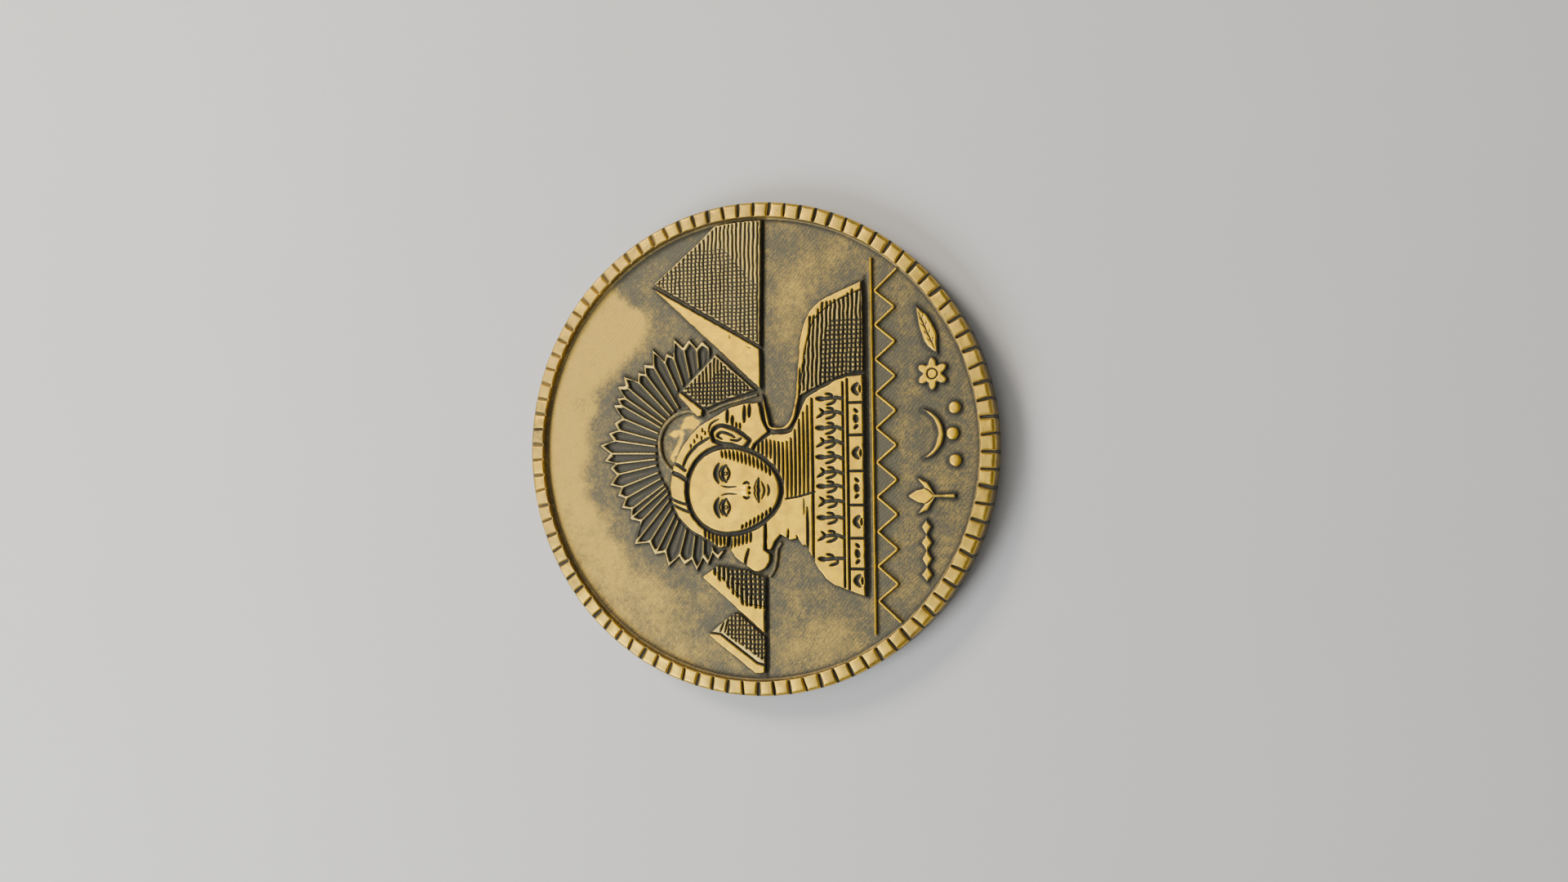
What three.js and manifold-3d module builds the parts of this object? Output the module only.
// Challenge coin: a thick round of darkened brass with a raised border on both faces, notched all
// the way round on the obverse. The obverse (+Z) carries a desert picture in low relief: a sphinx
// with a crown of rays, pyramids to both sides, a zigzag border line and a row of small ornaments.
// The reverse is plain. The coin lies flat: origin at the middle of its underside, +Z out of the
// obverse, the picture upright along +Y. Millimetres.
import * as THREE from "three";
import { mergeGeometries, mergeVertices } from "three/addons/utils/BufferGeometryUtils.js";
import Module from "manifold-3d";

const wasm = await Module();
wasm.setup();

// ---- Driving dimensions of the coin ----
const coinDiameter = 50;
const coinThickness = 3.5;
const borderWidth = 1.5; // radial width of the raised border
const borderHeight = 0.8; // border's top above each sunk field
const edgeRounding = 0.5; // radius of the border's two outer corners
const notchCount = 92;
const notchWidth = 0.4;
const notchDepth = 0.35;

// ---- Heights of the relief above the field ----
const plateauHeight = 0.55; // flat-topped figures
const rayHeight = 0.42; // the crown's ribs
const lineHeight = 0.38; // thin ridges and ornaments
const faceDome = 0.12; // how far the face swells above its plateau
const grooveDepth = 0.3; // engraved lines in the plateaus

// ---- The picture is drawn for a field of this radius and scaled to the real one ----
const drawnFieldRadius = 23.5;
const channel = 0.35; // clear channel left between neighbouring figures
const fineChannel = 0.18; // the narrow line between two faces of one pyramid
const ridgeWidth = 0.28; // thin ridges of the zigzag, ground and halo
const ribWidth = 0.2; // ribs between the crown's rays
const grooveWidth = 0.3;
const mitreLimit = 0.3; // a corner sharper than this is cut short instead of running to a spike

// ---- Sizes that follow from the ones above ----
const coinRadius = coinDiameter / 2;
const fieldRadius = coinRadius - borderWidth;
const obverseField = coinThickness - borderHeight;
const reverseField = borderHeight;
const drawingScale = fieldRadius / drawnFieldRadius;
const pictureRadius = drawnFieldRadius - channel;

const brass = (name, color, roughness) =>
  new THREE.MeshStandardMaterial({ name, color, roughness, metalness: 1 });

const coin = new THREE.Group();
coin.name = "challenge_coin";

function addNode(name, geometry, material) {
  const mesh = new THREE.Mesh(geometry, material);
  mesh.name = name;
  coin.add(mesh);
}

// ---- Solids: closed geometries in, joined or cut geometries out ----

function solidOf(geometry) {
  const bare = geometry.clone();
  bare.deleteAttribute("normal");
  bare.deleteAttribute("uv");
  const merged = mergeVertices(bare, 1e-4);
  return new wasm.Manifold(
    new wasm.Mesh({
      numProp: 3,
      vertProperties: merged.attributes.position.array,
      triVerts: new Uint32Array(merged.index.array),
    }),
  );
}

function geometryOf(solid) {
  const mesh = solid.getMesh();
  const geometry = new THREE.BufferGeometry();
  geometry.setAttribute("position", new THREE.BufferAttribute(mesh.vertProperties, 3));
  geometry.setIndex(new THREE.BufferAttribute(mesh.triVerts, 1));
  geometry.computeVertexNormals();
  return geometry;
}

const cut = (body, ...cutters) =>
  geometryOf(cutters.reduce((left, cutter) => left.subtract(solidOf(cutter)), solidOf(body)));

const join = (body, ...others) =>
  geometryOf(others.reduce((left, other) => left.add(solidOf(other)), solidOf(body)));

// ---- Outlines, in the drawing's own millimetres ----

const vectors = (points) => points.map(([x, y]) => new THREE.Vector2(x, y));
const line = (...points) => vectors(points);
const curve = (...points) =>
  new THREE.SplineCurve(vectors(points)).getPoints((points.length - 1) * 3);
const outline = (...runs) => new THREE.Shape(runs.flat());

function arc(centre, radius, fromDegrees, toDegrees, steps) {
  const points = [];
  for (let i = 0; i <= steps; i += 1) {
    const angle = THREE.MathUtils.degToRad(
      THREE.MathUtils.lerp(fromDegrees, toDegrees, i / steps),
    );
    points.push(
      new THREE.Vector2(
        centre[0] + radius * Math.cos(angle),
        centre[1] + radius * Math.sin(angle),
      ),
    );
  }
  return points;
}

// A narrow strip of even width along a chain of points, with mitred corners.
function strip(points, width) {
  const left = [];
  const right = [];
  points.forEach((point, i) => {
    const before = points[Math.max(i - 1, 0)];
    const after = points[Math.min(i + 1, points.length - 1)];
    const into = point.clone().sub(before).normalize();
    const out = after.clone().sub(point).normalize();
    const along = into.clone().add(out).normalize();
    const across = new THREE.Vector2(-along.y, along.x);
    const straightness = Math.abs(along.dot(out.lengthSq() ? out : into));
    const reach = width / 2 / Math.max(straightness, mitreLimit);
    left.push(point.clone().addScaledVector(across, reach));
    right.unshift(point.clone().addScaledVector(across, -reach));
  });
  return new THREE.Shape([...left, ...right]);
}

// ---- Plates: outlines raised from the obverse field ----

function plate(shape, height) {
  const geometry = new THREE.ExtrudeGeometry(shape, {
    depth: height,
    bevelEnabled: false,
    curveSegments: 8,
  });
  geometry.scale(drawingScale, drawingScale, 1);
  geometry.translate(0, 0, obverseField);
  return geometry;
}

// A cutter that takes a figure's outline and a channel round it out of its neighbour.
function clearance(shape, width) {
  const geometry = new THREE.ExtrudeGeometry(shape, {
    depth: 2 * plateauHeight,
    bevelEnabled: true,
    bevelThickness: 0,
    bevelSize: 0,
    bevelOffset: width,
    bevelSegments: 1,
    curveSegments: 8,
  });
  geometry.scale(drawingScale, drawingScale, 1);
  geometry.translate(0, 0, obverseField - plateauHeight / 2);
  return geometry;
}

// A cutter that engraves a groove of even width in a plateau's top.
function groove(points, width) {
  const geometry = plate(strip(points, width), plateauHeight);
  geometry.translate(0, 0, plateauHeight - grooveDepth);
  return geometry;
}

// ---- Coin body ----

function coreDisc() {
  const profile = [
    [0, reverseField],
    [fieldRadius, reverseField],
    [fieldRadius, obverseField],
    [0, obverseField],
  ];
  return new THREE.LatheGeometry(vectors(profile), notchCount).rotateX(Math.PI / 2);
}

function borderRing() {
  const flat = coinRadius - edgeRounding;
  const low = [flat, edgeRounding];
  const high = [flat, coinThickness - edgeRounding];
  const roundingSteps = 3;
  const profile = [
    ...line([fieldRadius, 0]),
    ...arc(low, edgeRounding, -90, 0, roundingSteps),
    ...arc(high, edgeRounding, 0, 90, roundingSteps),
    ...line([fieldRadius, coinThickness], [fieldRadius, obverseField]),
    ...line([fieldRadius, reverseField], [fieldRadius, 0]),
  ];
  return new THREE.LatheGeometry(profile, notchCount).rotateX(Math.PI / 2);
}

function borderNotches() {
  const outer = coinRadius - edgeRounding;
  const inner = fieldRadius - notchWidth;
  const cutters = [];
  for (let i = 0; i < notchCount; i += 1) {
    const box = new THREE.BoxGeometry(outer - inner, notchWidth, 2 * notchDepth);
    box.translate((outer + inner) / 2, 0, coinThickness);
    box.rotateZ(((i + 0.5) * 2 * Math.PI) / notchCount);
    cutters.push(box);
  }
  return mergeGeometries(cutters);
}

// ---- Pyramids: each one has a sunlit face and a shaded face ----

const groundLevel = -1.3;

const rightApex = [17.0, 10.7];
const rightSunlit = outline(line([5.95, groundLevel], [10.0, groundLevel], rightApex));
const rightShaded = outline(
  line([10.0 + 2 * fineChannel, groundLevel]),
  arc([0, 0], pictureRadius, -3.9, 8.8, 6),
  line([21.4, 5.2], [19.9, 7.1], [17.3, 10.4], [17.0 + fineChannel, 10.2]),
);
const middleApex = [5.9, 7.55];
const middleSunlit = outline(line([3.35, 5.1], [4.0, 5.0], middleApex, [5.5, 7.75], [3.3, 5.6]));
const middleShaded = outline(
  line([5.85, -0.75], [9.65, 3.55], [6.35, 7.0], [6.05, 7.25]),
  line([4.1, 4.75], [4.8, 2.9], [5.55, 0.2]),
);
const leftApex = [-13.1, 5.2];
const leftSunlit = outline(
  line([-18.6, -1.45], [-16.0, -1.45], [-15.8, 0.3], [-14.3, 1.9], [-12.3, 3.95], leftApex),
);
const leftShaded = outline(
  line([-15.75, -1.5], [-13.1, -1.6], [-13.0, -0.9], [-12.4, 0.4]),
  line([-12.1, 3.7], [-14.1, 1.65], [-15.6, 0.15]),
);
const smallApex = [-18.85, 4.55];
const smallSunlit = outline(
  line([-22.65, -1.45], [-21.95, -1.45], [-21.75, -0.7], [-19.0, 3.2], smallApex),
  line([-19.2, 4.3], [-22.7, -0.5]),
);
const smallShaded = outline(
  line([-21.65, -1.45], [-19.0, -1.45], [-16.85, 1.15], [-16.8, 1.9], [-17.75, 3.1]),
  line([-18.65, 4.15], [-18.8, 3.1], [-21.5, -0.7]),
);

// ---- Sphinx: head, ear, head cloth, bust and body ----

const faceCentre = [-4.3, 1.7];
const faceHalfWidth = 4.3;
const faceHalfHeight = 5.0;
const faceTaper = 0.13; // how much narrower the chin is than the brow

// An egg with its narrow end down, widened or shrunk by a margin.
function faceOval(margin) {
  const points = [];
  const steps = 40;
  for (let i = 0; i < steps; i += 1) {
    const angle = (i / steps) * 2 * Math.PI;
    const taper = 1 + faceTaper * Math.sin(angle);
    const x = faceCentre[0] + (faceHalfWidth + margin) * taper * Math.cos(angle);
    const y = faceCentre[1] + (faceHalfHeight + margin) * Math.sin(angle);
    points.push(new THREE.Vector2(x, y));
  }
  return new THREE.Shape(points);
}

const ear = outline(
  curve([0.75, 0.0], [1.4, 0.8], [1.9, 1.8], [2.2, 3.0], [1.7, 3.9], [0.9, 3.7]),
  curve([0.6, 3.0], [0.4, 1.6], [0.1, 0.6], [0.75, 0.0]).slice(0, -1),
);

const headCloth = outline(
  curve([-10.0, 2.5], [-10.1, 3.4], [-9.3, 4.6], [-8.4, 6.3], [-7.2, 7.6], [-5.5, 8.5], [-3.6, 8.75]),
  curve([-1.9, 8.4], [-0.3, 7.7], [1.2, 6.6], [2.3, 5.4], [3.0, 4.2]),
  curve([3.6, 3.1], [4.2, 1.8], [4.5, 0.4], [4.6, -1.1]),
  line([2.8, -1.45], [1.6, -2.1], [0.4, -0.55], faceCentre),
);

const lappet = outline(
  line([-10.1, 2.2]),
  curve([-11.1, 1.6], [-11.8, 0.6], [-12.5, -0.6], [-12.2, -1.6], [-11.5, -2.1], [-10.7, -2.15]),
  line([-10.3, -1.55], [-7.5, -1.6], faceCentre),
);

const bust = outline(
  line([7.0, -12.0], [6.9, -10.6]),
  curve([6.6, -9.3], [6.0, -8.2], [5.0, -6.3], [4.0, -5.7], [2.0, -4.8], [1.4, -4.2], [1.35, -2.4]),
  line([0.35, -0.9], faceCentre, [-7.6, -1.8], [-10.2, -1.8], [-10.4, -2.25]),
  line([-9.5, -2.7], [-8.8, -3.3], [-9.3, -4.3], [-9.2, -5.1], [-9.9, -5.6]),
  curve([-9.8, -5.9], [-10.7, -6.4], [-12.0, -7.1], [-13.3, -8.2], [-13.9, -9.3], [-14.8, -12.0]),
);

const lionContour = outline(
  line([5.4, -1.45]),
  curve([3.7, -2.0], [2.3, -2.3], [2.05, -2.9], [2.1, -3.8], [2.9, -4.5], [4.8, -5.0]),
  curve([8.7, -5.35], [11.0, -5.6], [13.2, -6.4], [14.5, -7.7], [15.3, -9.5], [16.3, -12.0]),
  line([15.4, -12.0]),
  curve([14.6, -9.8], [13.7, -8.2], [12.5, -7.0], [10.5, -6.3], [8.0, -5.85], [5.0, -5.4]),
  curve([3.0, -4.95], [1.95, -4.3], [1.75, -3.4], [1.75, -2.6], [2.2, -1.95], [3.6, -1.65]),
);

const lionBody = outline(
  line([7.0 + channel, -12.0], [6.9 + channel, -10.4], [6.0 + channel, -8.0]),
  line([4.9 + channel, -5.85]),
  curve([8.0, -6.2], [10.4, -6.65], [12.2, -7.3], [13.4, -8.4], [14.2, -9.9], [15.0, -12.0]),
);

// ---- Crown of rays: a fan with pointed ends, ribs between its cells ----

const crownCentre = [-0.5, 4.8];
const crownInnerRadius = 5.6;
const crownEdge = 0.3; // rib that follows the fan's pointed outline
const valleyDrop = 0.7; // how far each valley lies inside the lower of its two tips
const widestCell = 8.5; // degrees: a wider ray gets a rib down its middle
const endRay = 4; // degrees from the outermost tips to the fan's two ends

// The direction in degrees and the reach of every ray's tip, from left to right.
const rayTips = [
  [187, 10.9], [181, 11.4],
  [175, 12.1], [168, 11.7], [160, 12.4], [151, 11.9], [139, 12.4], [128, 10.9], [120, 11.1],
  [113, 10.9], [106, 11.4], [97, 11.0], [93, 11.6], [85, 12.1], [78, 11.3], [72, 10.9],
  [63, 11.7], [59, 11.7], [54, 12.3], [48, 12.4], [41, 11.5], [36, 11.7], [28, 12.5],
  [22, 11.4], [16, 12.5], [8, 12.0], [1, 11.6],
];

function crownPoint(degrees, radius) {
  const angle = THREE.MathUtils.degToRad(degrees);
  const x = crownCentre[0] + radius * Math.cos(angle);
  const y = crownCentre[1] + radius * Math.sin(angle);
  return new THREE.Vector2(x, y);
}

// Valleys lie between the tips, and one closes the fan at each end.
function crownValleys() {
  const valleys = [];
  for (let i = 0; i < rayTips.length - 1; i += 1) {
    const [here, next] = [rayTips[i], rayTips[i + 1]];
    valleys.push([(here[0] + next[0]) / 2, Math.min(here[1], next[1]) - valleyDrop]);
  }
  const [first, last] = [rayTips[0], rayTips.at(-1)];
  return [
    [first[0] + endRay, first[1] - valleyDrop],
    ...valleys,
    [last[0] - endRay, last[1] - valleyDrop],
  ];
}

function crownCell(left, right) {
  const turn = (degrees, radius, way) =>
    crownPoint(degrees + way * THREE.MathUtils.radToDeg(ribWidth / 2 / radius), radius);
  const inner = crownInnerRadius - crownEdge;
  const points = [turn(left[0], inner, -1), turn(left[0], left[1] - crownEdge, -1)];
  const tip = rayTips.find(([degrees]) => degrees < left[0] && degrees > right[0]);
  if (tip) points.push(crownPoint(tip[0], tip[1] - 2 * crownEdge));
  points.push(turn(right[0], right[1] - crownEdge, 1), turn(right[0], inner, 1));
  return new THREE.Shape(points);
}

function rayCrown() {
  const valleys = crownValleys();
  const edge = [crownPoint(...valleys[0])];
  const cells = [];
  rayTips.forEach((tip, i) => {
    const [left, right] = [valleys[i], valleys[i + 1]];
    edge.push(crownPoint(...tip), crownPoint(...right));
    const middle = [tip[0], tip[1] - crownEdge];
    const isWide = left[0] - right[0] > widestCell;
    const pairs = isWide ? [[left, middle], [middle, right]] : [[left, right]];
    pairs.forEach((pair) => cells.push(clearance(crownCell(...pair), 0)));
  });
  const inner = arc(crownCentre, crownInnerRadius, valleys.at(-1)[0], valleys[0][0], 24);
  return cut(
    plate(outline(edge, inner), rayHeight),
    ...cells,
    clearance(headCloth, channel),
    clearance(haloDisc, ridgeWidth / 2 + channel),
    clearance(middleShaded, channel),
    clearance(middleSunlit, channel),
    clearance(rightSunlit, channel),
    clearance(leftSunlit, channel),
    clearance(leftShaded, channel),
    clearance(lappet, channel),
  );
}

const haloCentre = [0.5, 6.6];
const haloRadius = 3.4;
const haloDisc = outline(arc(haloCentre, haloRadius, 0, 345, 23));
const haloPath = arc(haloCentre, haloRadius, -12, 146, 20);

function haloRing() {
  const ring = plate(strip(haloPath, ridgeWidth), lineHeight);
  return cut(ring, clearance(headCloth, channel / 2), clearance(middleSunlit, channel / 2));
}

// ---- The face: a plain calm one on even proportions ----

function ellipsoid(x, y, height, radii) {
  const ball = new THREE.SphereGeometry(1, 16, 10).scale(...radii);
  ball.translate(faceCentre[0] + x, faceCentre[1] + y, 0);
  ball.scale(drawingScale, drawingScale, 1);
  return ball.translate(0, 0, obverseField + height);
}

function face() {
  const eyeHeight = 0.05 * faceHalfHeight; // eyes lie about halfway down the whole head
  const eyeSpread = 0.42 * faceHalfWidth;
  const noseFoot = -0.3 * faceHalfHeight;
  const mouthHeight = -0.52 * faceHalfHeight;
  const socket = [1.15, 0.6, grooveDepth]; // half sizes of each form, across, up and out
  const lid = [0.85, 0.36, grooveDepth / 2];
  const bridge = [0.42, 1.15, faceDome];
  const nostrils = [0.75, 0.36, faceDome];
  const lips = [1.3, 0.3, faceDome];
  const sockets = [-1, 1].map((side) =>
    ellipsoid(side * eyeSpread, eyeHeight, plateauHeight, socket),
  );
  const lids = [-1, 1].map((side) =>
    ellipsoid(side * eyeSpread, eyeHeight, plateauHeight - grooveDepth, lid),
  );
  const base = cut(plate(faceOval(0), plateauHeight), ...sockets);
  return join(
    base,
    ...lids,
    ellipsoid(0, (eyeHeight + noseFoot) / 2, plateauHeight, bridge),
    ellipsoid(0, noseFoot, plateauHeight, nostrils),
    ellipsoid(0, mouthHeight, plateauHeight, lips),
  );
}

// ---- Bust: rows of engraved lines and a plinth divided into panels ----

const friezeTop = -6.75;
const friezeFoot = -9.95;
const panelTop = -10.45;
const bustFoot = -12.0;
const panelDividers = [-12.1, -9.1, -5.85, -2.5, 1.05, 4.25];

function bustPlate() {
  const rows = [
    [[-11.2, friezeTop], [4.6, friezeTop]],
    [[-13.6, friezeFoot], [6.1, friezeFoot]],
    [[-13.8, panelTop], [6.4, panelTop]],
  ];
  const dividers = panelDividers.map((x) => [[x, bustFoot], [x, panelTop]]);
  const grooves = [...rows, ...dividers].map((ends) => groove(vectors(ends), grooveWidth));
  return cut(plate(bust, plateauHeight), clearance(faceOval(0), channel), ...grooves);
}

// ---- Ground line, base line and zigzag under the picture ----

const baseLineHeight = -12.9;
const baseLine = strip(line([-18.5, baseLineHeight], [18.5, baseLineHeight]), ridgeWidth);
const leftGround = strip(
  curve([-13.0, -2.0], [-12.3, -2.5], [-11.2, -2.75], [-10.3, -2.85], [-9.6, -3.3]),
  ridgeWidth,
);

const zigzagPitch = 3.38;
const zigzagTeeth = 10;
const zigzagDepth = 2.0;
const zigzagEnd = 0.6; // share of a pitch by which each end slopes on, down to the border
const baseLineGap = 1.2 * ridgeWidth; // from the base line's middle to the zigzag's upper corners

function zigzag() {
  const top = baseLineHeight - baseLineGap;
  const foot = top - zigzagDepth;
  const start = (-zigzagPitch * (zigzagTeeth - 1)) / 2;
  const outerReach = zigzagEnd * zigzagPitch;
  const endFoot = foot - zigzagDepth / 8;
  const points = [[start - outerReach, endFoot]];
  for (let i = 0; i < zigzagTeeth; i += 1) {
    points.push([start + i * zigzagPitch, top]);
    if (i < zigzagTeeth - 1) points.push([start + (i + 0.5) * zigzagPitch, foot]);
  }
  points.push([-start + outerReach, endFoot]);
  return strip(vectors(points), ridgeWidth);
}

// ---- Ornaments in the foot of the coin ----

function lozengeRow() {
  const firstX = -12.6;
  const level = -18.1;
  const pitch = 1.55;
  const count = 4;
  const height = 0.62; // from the row's middle line to a lozenge's upper corner
  const neck = 0.12; // half the bridge between two lozenges
  const upper = [[firstX - pitch / 2, level]];
  const lower = [];
  for (let i = 0; i < count; i += 1) {
    const x = firstX + i * pitch;
    upper.push([x, level + height]);
    lower.unshift([x, level - height]);
    if (i < count - 1) upper.push([x + pitch / 2, level + neck]);
    if (i < count - 1) lower.unshift([x + pitch / 2, level - neck]);
  }
  upper.push([firstX + (count - 0.5) * pitch, level]);
  return outline(vectors([...upper, ...lower].reverse()));
}

const lotusBud = outline(
  line([-5.25, -21.0], [-4.75, -21.0], [-4.8, -19.0]),
  curve([-3.6, -18.3], [-3.2, -17.2], [-4.2, -17.9]),
  curve([-4.3, -17.3], [-5.0, -16.3], [-5.7, -17.3]),
  curve([-5.8, -17.9], [-6.8, -17.2], [-6.4, -18.3]),
  line([-5.2, -19.0]),
);

const leaf = outline(
  curve([8.6, -19.5], [9.6, -18.3], [11.4, -17.6], [13.6, -17.3]),
  curve([12.6, -18.5], [10.8, -19.4], [8.6, -19.5]).slice(0, -1),
);

const crescentRadius = 2.5;
const crescentMiddle = 1.0;
const crescent = outline(
  arc([crescentMiddle, -17.5], crescentRadius, 190, 350, 16),
  arc([crescentMiddle, -16.75], crescentRadius, 337, 203, 14),
);

// A flower of round petals.
const rosetteCentre = [6.8, -18.9];
const rosettePetals = 6;
const rosetteNotch = 0.95; // radius between two petals
const rosetteReach = 1.65; // radius at a petal's tip

function rosette(centre, petals, innerRadius, outerRadius) {
  const points = [];
  const stepsPerPetal = 6;
  const steps = petals * stepsPerPetal;
  for (let i = 0; i < steps; i += 1) {
    const angle = (i / steps) * 2 * Math.PI;
    const swell = Math.abs(Math.cos((petals * angle) / 2));
    const radius = THREE.MathUtils.lerp(innerRadius, outerRadius, swell);
    const x = centre[0] + radius * Math.cos(angle);
    points.push(new THREE.Vector2(x, centre[1] + radius * Math.sin(angle)));
  }
  return new THREE.Shape(points);
}

const pelletRadius = 0.65;
const pelletCentres = [[-1.6, -21.0], [1.0, -20.75], [3.5, -21.0]];

// A low round pellet: a spherical cap on a short straight foot.
function pellet(centre, radius) {
  const foot = lineHeight / 3;
  const crown = arc([0, 0], 1, 0, 90, 5).map(
    (point) => new THREE.Vector2(point.x * radius, foot + point.y * (lineHeight - foot)),
  );
  crown[crown.length - 1].x = 0;
  const profile = [new THREE.Vector2(0, 0), new THREE.Vector2(radius, 0), ...crown];
  const geometry = new THREE.LatheGeometry(profile, 20).rotateX(Math.PI / 2);
  geometry.translate(centre[0], centre[1], 0).scale(drawingScale, drawingScale, 1);
  return geometry.translate(0, 0, obverseField);
}

// ---- The coin, node by node ----

const fieldBrass = () => brass("field_brass", 0x6b6048, 0.55);
const borderBrass = () => brass("border_brass", 0xb8964f, 0.42);
const reliefBrass = () => brass("relief_brass", 0xd6b15e, 0.38);
const shadedBrass = () => brass("shaded_brass", 0x94834f, 0.5);

addNode("core_disc", coreDisc(), fieldBrass());
addNode("notched_border", cut(borderRing(), borderNotches()), borderBrass());

addNode("right_pyramid_sunlit_face", plate(rightSunlit, plateauHeight), reliefBrass());
addNode("right_pyramid_shaded_face", plate(rightShaded, plateauHeight), shadedBrass());
addNode("middle_pyramid_sunlit_face", plate(middleSunlit, plateauHeight), reliefBrass());
addNode(
  "middle_pyramid_shaded_face",
  cut(
    plate(middleShaded, plateauHeight),
    clearance(rightSunlit, channel),
    clearance(headCloth, channel),
  ),
  shadedBrass(),
);
addNode("left_pyramid_sunlit_face", plate(leftSunlit, plateauHeight), reliefBrass());
addNode("left_pyramid_shaded_face", plate(leftShaded, plateauHeight), shadedBrass());
addNode("small_pyramid_sunlit_face", plate(smallSunlit, plateauHeight), reliefBrass());
addNode(
  "small_pyramid_shaded_face",
  cut(plate(smallShaded, plateauHeight), clearance(leftSunlit, channel)),
  shadedBrass(),
);

addNode("ray_crown", rayCrown(), shadedBrass());
addNode("halo_ring", haloRing(), shadedBrass());
addNode("face", face(), reliefBrass());
addNode("ear", plate(ear, plateauHeight), reliefBrass());
addNode(
  "head_cloth",
  cut(
    plate(headCloth, plateauHeight),
    clearance(faceOval(0), channel),
    clearance(ear, fineChannel),
  ),
  reliefBrass(),
);
addNode(
  "left_lappet",
  cut(plate(lappet, plateauHeight), clearance(faceOval(0), channel)),
  reliefBrass(),
);
addNode("bust", bustPlate(), reliefBrass());
addNode("lion_contour", plate(lionContour, plateauHeight), reliefBrass());
addNode("lion_body", plate(lionBody, plateauHeight), shadedBrass());

addNode("left_ground_ridge", plate(leftGround, lineHeight), shadedBrass());
addNode("base_line", plate(baseLine, lineHeight), reliefBrass());
addNode("zigzag_ridge", plate(zigzag(), lineHeight), reliefBrass());

addNode("lozenge_row", plate(lozengeRow(), lineHeight), reliefBrass());
addNode("lotus_bud", plate(lotusBud, lineHeight), reliefBrass());
addNode("crescent", plate(crescent, lineHeight), reliefBrass());
pelletCentres.forEach((centre, i) =>
  addNode(`pellet_${i + 1}`, pellet(centre, pelletRadius), reliefBrass()),
);
const rosetteShape = rosette(rosetteCentre, rosettePetals, rosetteNotch, rosetteReach);
addNode("rosette", plate(rosetteShape, lineHeight), reliefBrass());
addNode("leaf", plate(leaf, lineHeight), reliefBrass());

export default coin;
